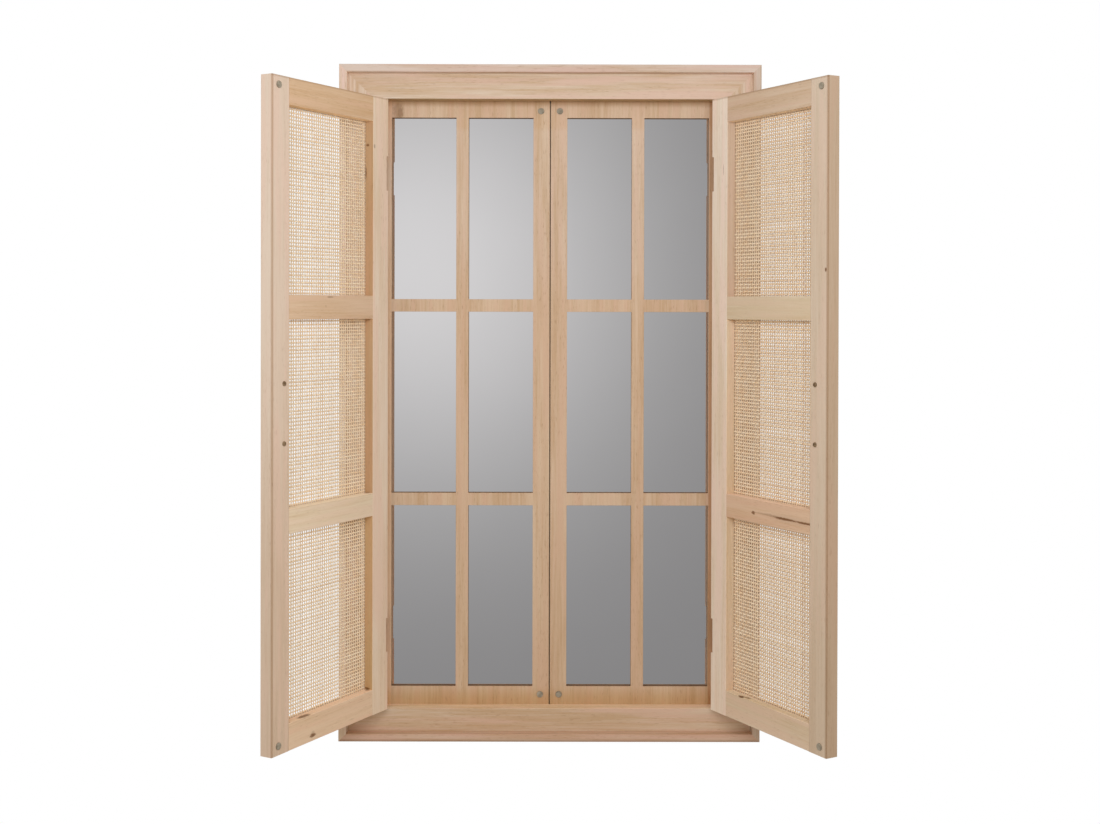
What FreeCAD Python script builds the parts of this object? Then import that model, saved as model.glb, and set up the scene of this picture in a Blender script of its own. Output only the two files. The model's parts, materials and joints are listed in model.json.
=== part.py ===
import FreeCAD, Part
import os
import re
import Sketcher

# A wall mirror made like a window: a shallow wooden case, two cut-out lattices with mirror glass
# behind them, and two shutters with cane panels that swing on butt hinges.
# +X is to the right as the mirror is looked at, +Y points into the wall and +Z is up.
# The origin is the middle of the back, on the wall. Lengths are in millimetres, angles in degrees.

SIZES = {
    # case: four mitred boards round the outside
    "case_height": 1200.0,
    "case_width": 747.0,
    "rim_wall": 13.5,
    "rim_proud": 19.0,
    "edge_round": 0.9,
    "lattice_round": 0.6,
    # face frame: mitred members inside the case boards, rebated at the back for lattice and glass
    "face_top_rail": 45.0,
    "face_bottom_rail": 40.5,
    "face_stile": 46.0,
    "rebate_width": 12.0,
    "panel_thick": 8.0,
    "glass_thick": 4.0,
    "sheet_clearance": 0.5,
    # lattices
    "lattice_thick": 8.0,
    "lattice_clearance": 4.0,
    "centre_gap": 2.0,
    "centre_stile": 29.6,
    "outer_stile_seen": 28.5,
    "lattice_top_seen": 30.1,
    "lattice_bottom_seen": 32.4,
    "lattice_post": 22.4,
    "lattice_bar": 22.5,
    # shutters
    "left_rest_angle": 118.8,
    "right_rest_angle": 119.5,
    "door_thick": 23.0,
    "door_gap": 3.0,
    "meeting_gap": 2.0,
    "hinge_side_gap": 1.5,
    "hinge_stile": 45.0,
    "meeting_stile": 42.0,
    "door_end_rail": 44.0,
    "door_mid_rail": 40.0,
    "tenon_long": 14.0,
    "tenon_thick": 8.0,
    "tenon_shoulder": 7.0,
    "joint_clearance": 0.1,
    # cane panels and the beads that hold them
    "bead_wide": 7.0,
    "bead_thick": 5.0,
    "bead_gap": 0.2,
    "cane_thick": 1.5,
    "strand_wide": 5.0,
    # hinges
    "hinge_long": 60.0,
    "hinge_inset": 132.0,
    "hinge_fit": 0.3,
    "leaf_thick": 1.5,
    "leaf_wide": 22.0,
    "knuckle_radius": 3.25,
    "knuckle_gap": 0.3,
    "pin_stand_off": 3.5,
    "pin_radius": 1.5,
    "pin_clearance": 0.05,
    "pin_head_radius": 2.5,
    "pin_head_high": 1.0,
    "leaf_hole_out": 14.0,
    "leaf_hole_step": 21.0,
    # screws and the room around them
    "screw_clearance": 0.1,
    "hinge_screw_head": 6.5,
    "hinge_screw_shank": 3.5,
    "hinge_screw_long": 16.0,
    "panel_screw_head": 8.0,
    "panel_screw_shank": 4.0,
    "panel_screw_long": 28.0,
    "panel_screw_inset": 22.0,
    "panel_screw_end": 55.0,
    "hanger_screw_head": 7.0,
    "hanger_screw_shank": 3.5,
    "hanger_screw_long": 25.0,
    "recess_wide": 0.9,
    "recess_deep": 0.9,
    # magnets
    "magnet_radius": 5.5,
    "magnet_sunk": 2.2,
    "magnet_fit": 0.2,
    "magnet_gap": 0.4,
    "magnet_side": 16.0,
    "magnet_end": 18.0,
    # handles
    "handle_centres": 96.0,
    "handle_side": 29.5,
    "handle_bar_radius": 4.0,
    "handle_bar_long": 136.0,
    "handle_post_radius": 3.5,
    "handle_stand_off": 19.0,
    "handle_end_round": 1.0,
    "handle_screw_head": 8.0,
    "handle_screw_high": 2.4,
    "handle_screw_shank": 4.0,
    "handle_screw_bite": 12.0,
    # hanger plates
    "hanger_wide": 20.0,
    "hanger_long": 58.0,
    "hanger_thick": 2.0,
    "hanger_side": 20.0,
    "hanger_down": 120.0,
    "hanger_entry_radius": 4.75,
    "hanger_slot_radius": 2.5,
    "hanger_slot_rise": 12.0,
    "hanger_hole_step": 22.0,
    "hanger_pocket_deep": 10.0,
}
CASE_SCREWS_PER_RAIL = 3
CASE_SCREWS_PER_STILE = 5
HOLES_PER_LEAF = 3
KNUCKLES = 5
CANE_COLUMNS = 12
CANE_ROWS = 16
PANES_ACROSS = 2
PANES_UP = 3
PAN_HEAD_SHARES = ((0.62, 1.0), (0.9, 0.72), (1.0, 0.3))

# Sizes worked out from the ones above. A word ending in _out is a distance in front of the wall.
WORKED_OUT = {
    "inner_half": "case_width / 2 - rim_wall",
    "inner_top": "case_height / 2 - rim_wall",
    "opening_half": "inner_half - face_stile",
    "opening_top": "inner_top - face_top_rail",
    "opening_bottom": "face_bottom_rail - inner_top",
    "reveal": "door_thick + lattice_clearance",
    "glass_out": "panel_thick + glass_thick",
    "lattice_out": "glass_out + lattice_thick",
    "face_out": "lattice_out + reveal",
    "case_out": "face_out + rim_proud",
    "sheet_half": "opening_half + rebate_width - sheet_clearance",
    "sheet_top": "opening_top + rebate_width - sheet_clearance",
    "sheet_bottom": "opening_bottom - rebate_width + sheet_clearance",
    "pane_width": "(opening_half - outer_stile_seen - centre_stile - centre_gap / 2 - lattice_post) / 2",
    "pane_height": "(opening_top - opening_bottom - lattice_top_seen - lattice_bottom_seen"
                   " - 2 * lattice_bar) / 3",
    "pin_half": "opening_half - knuckle_radius",
    "pin_out": "face_out + pin_stand_off",
    # in a shutter's own frame: across from the pin, and back from the pin
    "door_start": "hinge_side_gap - knuckle_radius",
    "door_end": "pin_half - meeting_gap / 2",
    "door_outer": "pin_stand_off",
    "door_inner": "pin_stand_off + door_thick",
    "door_top": "opening_top - door_gap",
    "door_bottom": "opening_bottom + door_gap",
    "cane_start": "door_start + hinge_stile",
    "cane_end": "door_end - meeting_stile",
    "cane_height": "(door_top - door_bottom - 2 * door_end_rail - 2 * door_mid_rail) / 3",
    "bead_seat": "door_outer + bead_thick + cane_thick",
    "tenon_front": "(door_outer + door_inner - tenon_thick) / 2",
    "hinge_height": "door_top - hinge_inset",
    "hinge_depth": "door_bottom + hinge_inset",
    "magnet_proud": "(lattice_clearance - magnet_gap) / 2",
    "magnet_across": "door_end - magnet_side",
    "magnet_high": "opening_top - magnet_end",
    "magnet_low": "opening_bottom + magnet_end",
    "handle_across": "door_end - handle_side",
    "knuckle_long": "hinge_long / 5",
    "leaf_hole_turn": "knuckle_radius - leaf_thick",
    "hanger_half": "inner_half - hanger_side",
    "hanger_high": "inner_top - hanger_down",
}
LEFT = 1
RIGHT = -1

doc = FreeCAD.newDocument("shuttered_mirror")
sheet = doc.addObject("Spreadsheet::Sheet", "Sizes")
for row, (alias, value) in enumerate(SIZES.items(), 1):
    sheet.set(f"A{row}", alias)
    sheet.set(f"B{row}", str(value))
    sheet.setAlias(f"B{row}", alias)
doc.recompute()


def formula(words):
    """Turns names of sizes into an expression of the sheet's cells."""
    def spell(match):
        word = match.group(0)
        if word in WORKED_OUT:
            return "(" + formula(WORKED_OUT[word]) + ")"
        return "Sizes." + word if word in SIZES else word
    return re.sub(r"[a-z_]+", spell, words)


def size(words):
    """The value of such an expression now."""
    return float(sheet.evalExpression(formula(words)))


def point(x, y, z):
    return FreeCAD.Vector(size(x), size(y), size(z))


# Sketches and features, the small steps that every piece is made of.

def fix_point(sketch, line, end, across, up):
    """Holds one end of a line, or a circle's middle, at its place from the sheet."""
    for kind, words in (("DistanceX", across), ("DistanceY", up)):
        number = sketch.addConstraint(Sketcher.Constraint(kind, -1, 1, line, end, size(words)))
        sketch.setExpression(f"Constraints[{number}]", formula(words))


def draw(body, name, plane, lift, loops=(), circles=()):
    """A sketch on one of the body's own planes. A loop is a list of corners (across, up),
    a circle is (across, up, radius), and lift is the distance along the plane's normal."""
    sketch = body.newObject("Sketcher::SketchObject", f"{body.Name}_{name}")
    support = [item for item in body.Origin.OriginFeatures if item.Role == plane]
    sketch.AttachmentSupport = [(support[0], "")]
    sketch.MapMode = "FlatFace"
    sketch.setExpression("AttachmentOffset.Base.z", formula(lift))
    for corners in loops:
        first = sketch.GeometryCount
        places = [point(across, up, "0") for across, up in corners]
        for start, end in zip(places, places[1:] + places[:1]):
            sketch.addGeometry(Part.LineSegment(start, end))
        for step in range(len(corners)):
            following = first + (step + 1) % len(corners)
            sketch.addConstraint(Sketcher.Constraint("Coincident", first + step, 2, following, 1))
        for step, (across, up) in enumerate(corners):
            fix_point(sketch, first + step, 1, across, up)
    for across, up, radius in circles:
        ring = Part.Circle(point(across, up, "0"), FreeCAD.Vector(0, 0, 1), size(radius))
        line = sketch.addGeometry(ring)
        fix_point(sketch, line, 3, across, up)
        number = sketch.addConstraint(Sketcher.Constraint("Radius", line, size(radius)))
        sketch.setExpression(f"Constraints[{number}]", formula(radius))
    return sketch


def grow(body, name, sketch, length):
    pad = body.newObject("PartDesign::Pad", f"{body.Name}_{name}")
    pad.Profile = sketch
    pad.setExpression("Length", formula(length))
    return pad


def sink(body, name, sketch, length, along_normal=False):
    """Cuts from the sketch against its plane's normal, or along it."""
    pocket = body.newObject("PartDesign::Pocket", f"{body.Name}_{name}")
    pocket.Profile = sketch
    pocket.Reversed = along_normal
    pocket.setExpression("Length", formula(length))
    return pocket


def ease(body, feature, axes, chosen=lambda middle: True, radius="edge_round"):
    """Rounds the edges of a board that run along the given axes."""
    doc.recompute()
    names = []
    for number, edge in enumerate(feature.Shape.Edges, 1):
        run = edge.Vertexes[-1].Point - edge.Vertexes[0].Point
        along = any(run.cross(axis).Length < 1e-6 * run.Length for axis in axes)
        if along and chosen(edge.CenterOfMass):
            names.append(f"Edge{number}")
    fillet = body.newObject("PartDesign::Fillet", f"{body.Name}_eased")
    fillet.Base = (feature, names)
    fillet.setExpression("Radius", formula(radius))
    return fillet


def rectangle(left, right, low, high):
    return [(left, low), (right, low), (right, high), (left, high)]


def new_body(label):
    return doc.addObject("PartDesign::Body", label)


def box(name, low, spans):
    """A block from its low corner and its three spans."""
    block = doc.addObject("Part::Box", name)
    for side, words in zip(("Length", "Width", "Height"), spans):
        block.setExpression(side, formula(words))
    for axis, words in zip("xyz", low):
        block.setExpression(f"Placement.Base.{axis}", formula(words))
    return block


def cylinder(name, low, radius, length, aim=FreeCAD.Vector(0, 0, 1)):
    rod = doc.addObject("Part::Cylinder", name)
    rod.Placement = FreeCAD.Placement(FreeCAD.Vector(), FreeCAD.Rotation(FreeCAD.Vector(0, 0, 1), aim))
    rod.setExpression("Radius", formula(radius))
    rod.setExpression("Height", formula(length))
    for axis, words in zip("xyz", low):
        rod.setExpression(f"Placement.Base.{axis}", formula(words))
    return rod


def join(name, pieces):
    union = doc.addObject("Part::MultiFuse", name)
    union.Shapes = pieces
    return union


def carve(label, base, tools):
    """The base with the tools cut out of it, under the sub-part's own label."""
    together = doc.addObject("Part::Compound", f"{label}_cuts")
    together.Links = tools
    cut = doc.addObject("Part::Cut", f"{label}_carved")
    cut.Base = base
    cut.Tool = together
    return cut


def copies(label, master, places):
    """A group of separate solids: the master set at each place."""
    group = doc.addObject("Part::Feature", label)
    shapes = []
    for place in places:
        shape = master.Shape.copy()
        shape.Placement = place.multiply(master.Shape.Placement)
        shapes.append(shape)
    group.Shape = Part.makeCompound(shapes)
    return group


def aimed(position, aim):
    """A place for a fastener whose head is at its own top and whose shank points down."""
    return FreeCAD.Placement(position, FreeCAD.Rotation(FreeCAD.Vector(0, 0, -1), aim))


def hang(piece, side):
    """Sets a piece of a shutter, modelled shut about its pin, at the angle it stands open."""
    piece.Placement = FreeCAD.Placement(FreeCAD.Vector(),
                                        FreeCAD.Rotation(FreeCAD.Vector(0, 0, -side), 1))
    opened = "left_rest_angle" if side == LEFT else "right_rest_angle"
    piece.setExpression("Placement.Rotation.Angle", formula(opened))
    piece.setExpression("Placement.Base.x", formula(f"{-side} * pin_half"))
    piece.setExpression("Placement.Base.y", formula("-pin_out"))
    return piece


sub_parts = {}


def keep(label, piece):
    """Lists a finished sub-part under the name that it is kept by."""
    piece.Label = label
    sub_parts[label] = piece
    return piece


# Screws, and the holes they sit in.

def wood_screw(name, kind, room="0"):
    """A countersunk screw, or with room around it the hole for one."""
    body = new_body(name)
    half_head = f"{kind}_head / 2 + {room}"
    half_shank = f"{kind}_shank / 2 + {room}"
    neck = f"({kind}_shank - {kind}_head) / 2"
    tip = f"-{kind}_long - {room}"
    corners = [("0", "0"), (half_head, "0"), (half_shank, neck), (half_shank, tip), ("0", tip)]
    return turned(body, corners, "0", cross=room == "0")


def machine_screw(name, room="0"):
    """The pan-head screw that holds a handle, or with room around it the hole for one."""
    body = new_body(name)
    half_shank = f"handle_screw_shank / 2 + {room}"
    tip = f"-door_thick - handle_screw_bite - {room}"
    rise = f"handle_screw_high + {room}"
    corners = [("0", tip), (half_shank, tip), (half_shank, "0")]
    for across, up in reversed(PAN_HEAD_SHARES):
        corners.append((f"{across} * handle_screw_head / 2 + {room}", f"{up} * {rise}"))
    corners.insert(3, (f"handle_screw_head / 2 + {room}", "0"))
    corners.append(("0", rise))
    return turned(body, corners, rise, cross=room == "0")


def turned(body, corners, top, cross):
    """A piece turned about its own Z axis, with a cross recess in its head if it is a screw."""
    profile = draw(body, "profile", "XZ_Plane", "0", [corners])
    turn = body.newObject("PartDesign::Revolution", f"{body.Name}_turned")
    turn.Profile = profile
    turn.ReferenceAxis = (profile, ["V_Axis"])
    turn.Angle = 360
    if cross:
        wide, far = "recess_wide / 2", "recess_wide * 2"
        arms = [(wide, far), (wide, wide), (far, wide), (far, f"-{wide}"), (wide, f"-{wide}"),
                (wide, f"-{far}"), (f"-{wide}", f"-{far}"), (f"-{wide}", f"-{wide}"),
                (f"-{far}", f"-{wide}"), (f"-{far}", wide), (f"-{wide}", wide), (f"-{wide}", far)]
        sink(body, "recess", draw(body, "cross", "XY_Plane", top, [arms]), "recess_deep")
    return body


hinge_screw = wood_screw("hinge_screw", "hinge_screw")
hinge_screw_hole = wood_screw("hinge_screw_hole", "hinge_screw", "screw_clearance")
panel_screw = wood_screw("panel_screw", "panel_screw")
panel_screw_hole = wood_screw("panel_screw_hole", "panel_screw", "screw_clearance")
hanger_screw = wood_screw("hanger_screw", "hanger_screw")
hanger_screw_hole = wood_screw("hanger_screw_hole", "hanger_screw", "screw_clearance")
handle_screw = machine_screw("handle_screw")
handle_screw_hole = machine_screw("handle_screw_hole", "screw_clearance")
magnet = cylinder("magnet", ("0", "0", "-magnet_sunk"), "magnet_radius", "magnet_sunk + magnet_proud")
magnet_seat = cylinder("magnet_seat", ("0", "0", "-magnet_sunk"), "magnet_radius + magnet_fit",
                       "magnet_sunk + magnet_proud")
pin_shank = cylinder("pin_shank", ("0", "0", "-hinge_long / 2"), "pin_radius", "hinge_long")
pin_head = cylinder("pin_head", ("0", "0", "hinge_long / 2"), "pin_head_radius", "pin_head_high")
hinge_pin = join("hinge_pin", [pin_shank, pin_head])
doc.recompute()


def leaf_screw_places(toward):
    """Places on a leaf, in the hinge's own frame, of screws that run across toward +1 or -1."""
    places = []
    for number in range(HOLES_PER_LEAF):
        step = f"{number - (HOLES_PER_LEAF - 1) / 2} * leaf_hole_step"
        seat = point(f"{toward} * leaf_hole_turn", "leaf_hole_out", step)
        places.append(aimed(seat, FreeCAD.Vector(toward, 0, 0)))
    return places


HINGE_LEVELS = {"upper": "hinge_height", "lower": "hinge_depth"}


def raised(places, x, y, z):
    """The same places, moved from a hinge's frame to where the hinge is."""
    shift = FreeCAD.Placement(point(x, y, z), FreeCAD.Rotation())
    return [shift.multiply(place) for place in places]


def door_hinge_places(side):
    """Where the screws stand that hold both of a shutter's leaves, in the shutter's frame."""
    places = []
    for level in HINGE_LEVELS.values():
        places += raised(leaf_screw_places(side), "0", "0", level)
    return places


def case_hinge_places(side):
    """Where the screws stand that hold both of one stile's leaves, in the mirror's frame."""
    places = []
    for level in HINGE_LEVELS.values():
        places += raised(leaf_screw_places(-side), f"{-side} * pin_half", "-pin_out", level)
    return places


def panel_screw_places():
    """Screws along the rails and stiles that hold the back panel to the face frame."""
    across = "(opening_half + inner_half + rebate_width) / 2"
    places = []
    for end in (1, -1):
        for number in range(CASE_SCREWS_PER_RAIL):
            share = (number + 0.5) / CASE_SCREWS_PER_RAIL * 2 - 1
            places.append((f"{share} * opening_half", f"{end} * (inner_top - panel_screw_inset)"))
        for number in range(CASE_SCREWS_PER_STILE):
            share = number / (CASE_SCREWS_PER_STILE - 1) * 2 - 1
            places.append((f"{end} * ({across})", f"{share} * (inner_top - panel_screw_end)"))
    return [aimed(point(x, "0", z), FreeCAD.Vector(0, -1, 0)) for x, z in places]


def hanger_screw_places():
    """Two screws in each hanger plate, above and below its keyhole."""
    places = []
    for side in (LEFT, RIGHT):
        for end in (1, -1):
            spot = point(f"{side} * hanger_half", "0", f"hanger_high + {end} * hanger_hole_step")
            places.append(aimed(spot, FreeCAD.Vector(0, -1, 0)))
    return places


keep("back_panel_screws", copies("back_panel_screws", panel_screw, panel_screw_places()))
keep("hanger_screws", copies("hanger_screws", hanger_screw, hanger_screw_places()))
keep("case_hinge_screws", copies("case_hinge_screws", hinge_screw,
                                 case_hinge_places(LEFT) + case_hinge_places(RIGHT)))
panel_holes = copies("panel_holes", panel_screw_hole, panel_screw_places())
hanger_holes = copies("hanger_holes", hanger_screw_hole, hanger_screw_places())


# The case and the face frame.

def mitred(outer, inner, which):
    """The corners of one mitred member between two rectangles (left, right, low, high)."""
    o_left, o_right, o_low, o_high = outer
    i_left, i_right, i_low, i_high = inner
    return {
        "top": [(o_left, o_high), (o_right, o_high), (i_right, i_high), (i_left, i_high)],
        "bottom": [(o_left, o_low), (i_left, i_low), (i_right, i_low), (o_right, o_low)],
        "left": [(o_left, o_low), (o_left, o_high), (i_left, i_high), (i_left, i_low)],
        "right": [(o_right, o_low), (i_right, i_low), (i_right, i_high), (o_right, o_high)],
    }[which]


ACROSS_AXIS = FreeCAD.Vector(1, 0, 0)
UP_AXIS = FreeCAD.Vector(0, 0, 1)
LONG_AXIS = {"top": ACROSS_AXIS, "bottom": ACROSS_AXIS, "left": UP_AXIS, "right": UP_AXIS}
OUTSIDE = ("-case_width / 2", "case_width / 2", "-case_height / 2", "case_height / 2")
INSIDE = ("-inner_half", "inner_half", "-inner_top", "inner_top")
OPENING = ("-opening_half", "opening_half", "opening_bottom", "opening_top")


def keyhole_pocket(side):
    """The hollow behind a hanger plate's keyhole, where the wall screw's head goes."""
    x = f"{side} * hanger_half"
    depth = "hanger_thick + hanger_pocket_deep"
    wide = "hanger_entry_radius + hanger_slot_radius"
    low = cylinder(f"pocket_low_{side + 1}", (x, "0", "hanger_high"), wide, depth,
                   FreeCAD.Vector(0, -1, 0))
    high = cylinder(f"pocket_high_{side + 1}", (x, "0", "hanger_high + hanger_slot_rise"), wide, depth,
                    FreeCAD.Vector(0, -1, 0))
    middle = box(f"pocket_middle_{side + 1}", (f"{x} - ({wide})", f"-({depth})", "hanger_high"),
                 (f"2 * ({wide})", depth, "hanger_slot_rise"))
    return join(f"keyhole_pocket_{side + 1}", [low, high, middle])


keyhole_pockets = {LEFT: keyhole_pocket(LEFT), RIGHT: keyhole_pocket(RIGHT)}

for which in ("top", "bottom", "left", "right"):
    rim = new_body(f"case_{which}")
    board = grow(rim, "board", draw(rim, "outline", "XZ_Plane", "0", [mitred(OUTSIDE, INSIDE, which)]),
                 "case_out")
    front = -size("case_out")
    ease(rim, board, [LONG_AXIS[which]], lambda middle: abs(middle.y - front) < size("edge_round") / 2)
    keep(f"case_{which}", rim)

for which in ("top", "bottom", "left", "right"):
    label = f"face_frame_{which}"
    member = new_body(label)
    section = draw(member, "outline", "XZ_Plane", "panel_thick", [mitred(INSIDE, OPENING, which)])
    board = grow(member, "board", section, "face_out - panel_thick")
    front = -size("face_out")
    nearest = {"top": lambda middle: middle.z < size("opening_top + edge_round"),
               "bottom": lambda middle: middle.z > size("opening_bottom - edge_round"),
               "left": lambda middle: middle.x > -size("opening_half + edge_round"),
               "right": lambda middle: middle.x < size("opening_half + edge_round")}[which]
    ease(member, board, [LONG_AXIS[which]],
         lambda middle: abs(middle.y - front) < size("edge_round") / 2 and nearest(middle))
    rebate = rectangle("-opening_half - rebate_width", "opening_half + rebate_width",
                       "opening_bottom - rebate_width", "opening_top + rebate_width")
    sink(member, "rebate", draw(member, "rebate_outline", "XZ_Plane", "lattice_out", [rebate]),
         "lattice_out - panel_thick")
    tools = [panel_holes]
    if which in ("left", "right"):
        side = LEFT if which == "left" else RIGHT
        # the left shutter hangs on the left stile, but the keyholes are met on both sides
        tools.append(copies(f"{label}_hinge_holes", hinge_screw_hole, case_hinge_places(side)))
        tools += [hanger_holes, keyhole_pockets[-side]]
    keep(label, carve(label, member, tools))

# back panel, flush with the back of the case, with seats for the hanger plates
panel = new_body("back_panel_board")
edge = "inner_half - sheet_clearance"
brim = "inner_top - sheet_clearance"
grow(panel, "board", draw(panel, "outline", "XZ_Plane", "0",
                          [rectangle(f"-({edge})", edge, f"-({brim})", brim)]), "panel_thick")
seats = []
for side in (LEFT, RIGHT):
    left = f"{side} * hanger_half - hanger_wide / 2 - sheet_clearance"
    right = f"{side} * hanger_half + hanger_wide / 2 + sheet_clearance"
    seats.append(rectangle(left, right, "hanger_high - hanger_long / 2 - sheet_clearance",
                           "hanger_high + hanger_long / 2 + sheet_clearance"))
sink(panel, "seats", draw(panel, "seat_outline", "XZ_Plane", "hanger_thick", seats), "hanger_thick")
keep("back_panel", carve("back_panel", panel,
                         [panel_holes, hanger_holes, keyhole_pockets[LEFT], keyhole_pockets[RIGHT]]))

# hanger plates: flush steel plates with a keyhole that opens upwards
for side, word in ((RIGHT, "left"), (LEFT, "right")):
    label = f"hanger_plate_{word}"
    x = f"{side} * hanger_half"
    plate = box(f"{label}_blank", (f"{x} - hanger_wide / 2", "-hanger_thick", "hanger_high - hanger_long / 2"),
                ("hanger_wide", "hanger_thick", "hanger_long"))
    back = FreeCAD.Vector(0, -1, 0)
    entry = cylinder(f"{label}_entry", (x, "0", "hanger_high"), "hanger_entry_radius", "hanger_thick", back)
    slot_end = cylinder(f"{label}_slot_end", (x, "0", "hanger_high + hanger_slot_rise"),
                        "hanger_slot_radius", "hanger_thick", back)
    slot = box(f"{label}_slot", (f"{x} - hanger_slot_radius", "-hanger_thick", "hanger_high"),
               ("2 * hanger_slot_radius", "hanger_thick", "hanger_slot_rise"))
    keep(label, carve(label, plate, [join(f"{label}_keyhole", [entry, slot_end, slot]), hanger_holes]))


# The two lattices, the glass, the back and what it hangs by.

def window_loops(side):
    """The cut-outs of one lattice, column by column from the middle of the mirror."""
    loops = []
    for column in range(PANES_ACROSS):
        start = f"centre_gap / 2 + centre_stile + {column} * (pane_width + lattice_post)"
        for row in range(PANES_UP):
            low = f"opening_bottom + lattice_bottom_seen + {row} * (pane_height + lattice_bar)"
            loops.append(rectangle(f"{side} * ({start})", f"{side} * ({start} + pane_width)",
                                   low, f"{low} + pane_height"))
    return loops


def seen_from_front(middle):
    """True for the front edges of a lattice that show in the case's opening."""
    in_front = abs(middle.y + size("lattice_out")) < size("lattice_round") / 2
    across = abs(middle.x) < size("opening_half")
    return in_front and across and size("opening_bottom") < middle.z < size("opening_top")


lattice_magnet_places = {}
for side, word in ((-1, "left"), (1, "right")):
    spots = [point(f"{side} * (pin_half - magnet_across)", "-lattice_out", level)
             for level in ("magnet_high", "magnet_low")]
    lattice_magnet_places[side] = [aimed(spot, FreeCAD.Vector(0, 1, 0)) for spot in spots]

for side, word in ((-1, "left"), (1, "right")):
    sheet_outline = rectangle(f"{side} * centre_gap / 2", f"{side} * (sheet_half)",
                              "sheet_bottom", "sheet_top")
    lattice = new_body(f"lattice_{word}_board")
    board = grow(lattice, "board", draw(lattice, "outline", "XZ_Plane", "glass_out",
                                        [sheet_outline] + window_loops(side)), "lattice_thick")
    ease(lattice, board, [ACROSS_AXIS, UP_AXIS], seen_from_front, "lattice_round")
    seat = copies(f"lattice_{word}_magnet_seats", magnet_seat, lattice_magnet_places[side])
    keep(f"lattice_{word}", carve(f"lattice_{word}", lattice, [seat]))
    glass = new_body(f"mirror_glass_{word}")
    grow(glass, "sheet", draw(glass, "outline", "XZ_Plane", "panel_thick", [sheet_outline]), "glass_thick")
    keep(f"mirror_glass_{word}", glass)

keep("lattice_magnets", copies("lattice_magnets", magnet,
                               lattice_magnet_places[-1] + lattice_magnet_places[1]))


# The two shutters.

def across(side, words):
    """A distance from the pin towards the middle of the mirror, as a place on the X axis."""
    return f"{side} * ({words})"


def cane_low(number):
    return f"door_bottom + door_end_rail + {number} * (cane_height + door_mid_rail)"


def bead_rebates(side):
    """The rebates in the outer face that hold the cane and its beads, one round each panel."""
    loops = []
    for number in range(PANES_UP):
        low = cane_low(number)
        loops.append(rectangle(across(side, "cane_start - bead_wide"), across(side, "cane_end + bead_wide"),
                               f"{low} - bead_wide", f"{low} + cane_height + bead_wide"))
    return loops


RAILS = {
    "bottom_rail": ("door_bottom", "door_end_rail"),
    "lower_mid_rail": (f"{cane_low(1)} - door_mid_rail", "door_mid_rail"),
    "upper_mid_rail": (f"{cane_low(2)} - door_mid_rail", "door_mid_rail"),
    "top_rail": ("door_top - door_end_rail", "door_end_rail"),
}


def tenon_loops(side, room, start, end):
    """The four tenons, or their mortises, along one edge of the cane opening."""
    loops = []
    for low, high in RAILS.values():
        loops.append(rectangle(across(side, start), across(side, end), f"{low} + tenon_shoulder - {room}",
                               f"{low} + {high} - tenon_shoulder + {room}"))
    return loops


def stile(side, label, start, end, mortise_start, mortise_end, tools):
    """An upright of a shutter, with its mortises and the rebates for the cane."""
    body = new_body(f"{label}_board")
    outline = rectangle(across(side, start), across(side, end), "door_bottom", "door_top")
    board = grow(body, "board", draw(body, "outline", "XZ_Plane", "-door_inner", [outline]), "door_thick")
    ease(body, board, [UP_AXIS])
    sink(body, "rebates", draw(body, "rebate_outline", "XZ_Plane", "-door_outer", bead_rebates(side)),
         "bead_thick + cane_thick")
    mortises = tenon_loops(side, "joint_clearance", mortise_start, mortise_end)
    sink(body, "mortises", draw(body, "mortise_outline", "XZ_Plane", "joint_clearance - tenon_front",
                                mortises), "tenon_thick + 2 * joint_clearance")
    if "hinge" in label:
        gains = []
        for level in HINGE_LEVELS.values():
            gains.append(rectangle(across(side, "door_start - hinge_side_gap"), across(side, "knuckle_radius"),
                                   f"{level} - hinge_long / 2 - hinge_fit", f"{level} + hinge_long / 2 + hinge_fit"))
        sink(body, "gains", draw(body, "gain_outline", "XZ_Plane", "-door_outer", gains), "door_thick")
    return keep(label, hang(carve(label, body, tools), side))


def rail(side, label, low, high):
    """A crosspiece of a shutter, with a tenon at each end."""
    body = new_body(label)
    outline = rectangle(across(side, "cane_start"), across(side, "cane_end"), low, f"{low} + {high}")
    board = grow(body, "board", draw(body, "outline", "XZ_Plane", "-door_inner", [outline]), "door_thick")
    ease(body, board, [ACROSS_AXIS])
    sink(body, "rebates", draw(body, "rebate_outline", "XZ_Plane", "-door_outer", bead_rebates(side)),
         "bead_thick + cane_thick")
    tenon = rectangle(across(side, "cane_start - tenon_long"), across(side, "cane_end + tenon_long"),
                      f"{low} + tenon_shoulder", f"{low} + {high} - tenon_shoulder")
    grow(body, "tenons", draw(body, "tenon_outline", "XZ_Plane", "-tenon_front - tenon_thick", [tenon]),
         "tenon_thick")
    return keep(label, hang(body, side))


def woven_cane():
    """A sheet of open cane webbing, one face with square holes, with a plain margin under the beads.
    It is drawn from the corner of its opening that is nearest the hinge and the floor."""
    margin = size("bead_wide - bead_gap")
    wide, high = size("cane_end - cane_start"), size("cane_height")
    column_step, row_step = wide / CANE_COLUMNS, high / CANE_ROWS
    half_strand = size("strand_wide / 2")

    def loop(x0, x1, z0, z1):
        corners = [(x0, z0), (x1, z0), (x1, z1), (x0, z1), (x0, z0)]
        return Part.makePolygon([FreeCAD.Vector(x, 0, z) for x, z in corners])

    wires = [loop(-margin, wide + margin, -margin, high + margin)]
    for column in range(CANE_COLUMNS):
        for row in range(CANE_ROWS):
            x, z = column * column_step, row * row_step
            wires.append(loop(x + half_strand, x + column_step - half_strand,
                              z + half_strand, z + row_step - half_strand))
    face = Part.Face(wires, "Part::FaceMakerBullseye")
    net = doc.addObject("Part::Feature", "woven_cane")
    net.Shape = face.extrude(FreeCAD.Vector(0, size("cane_thick"), 0))
    return net


cane = woven_cane()


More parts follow.
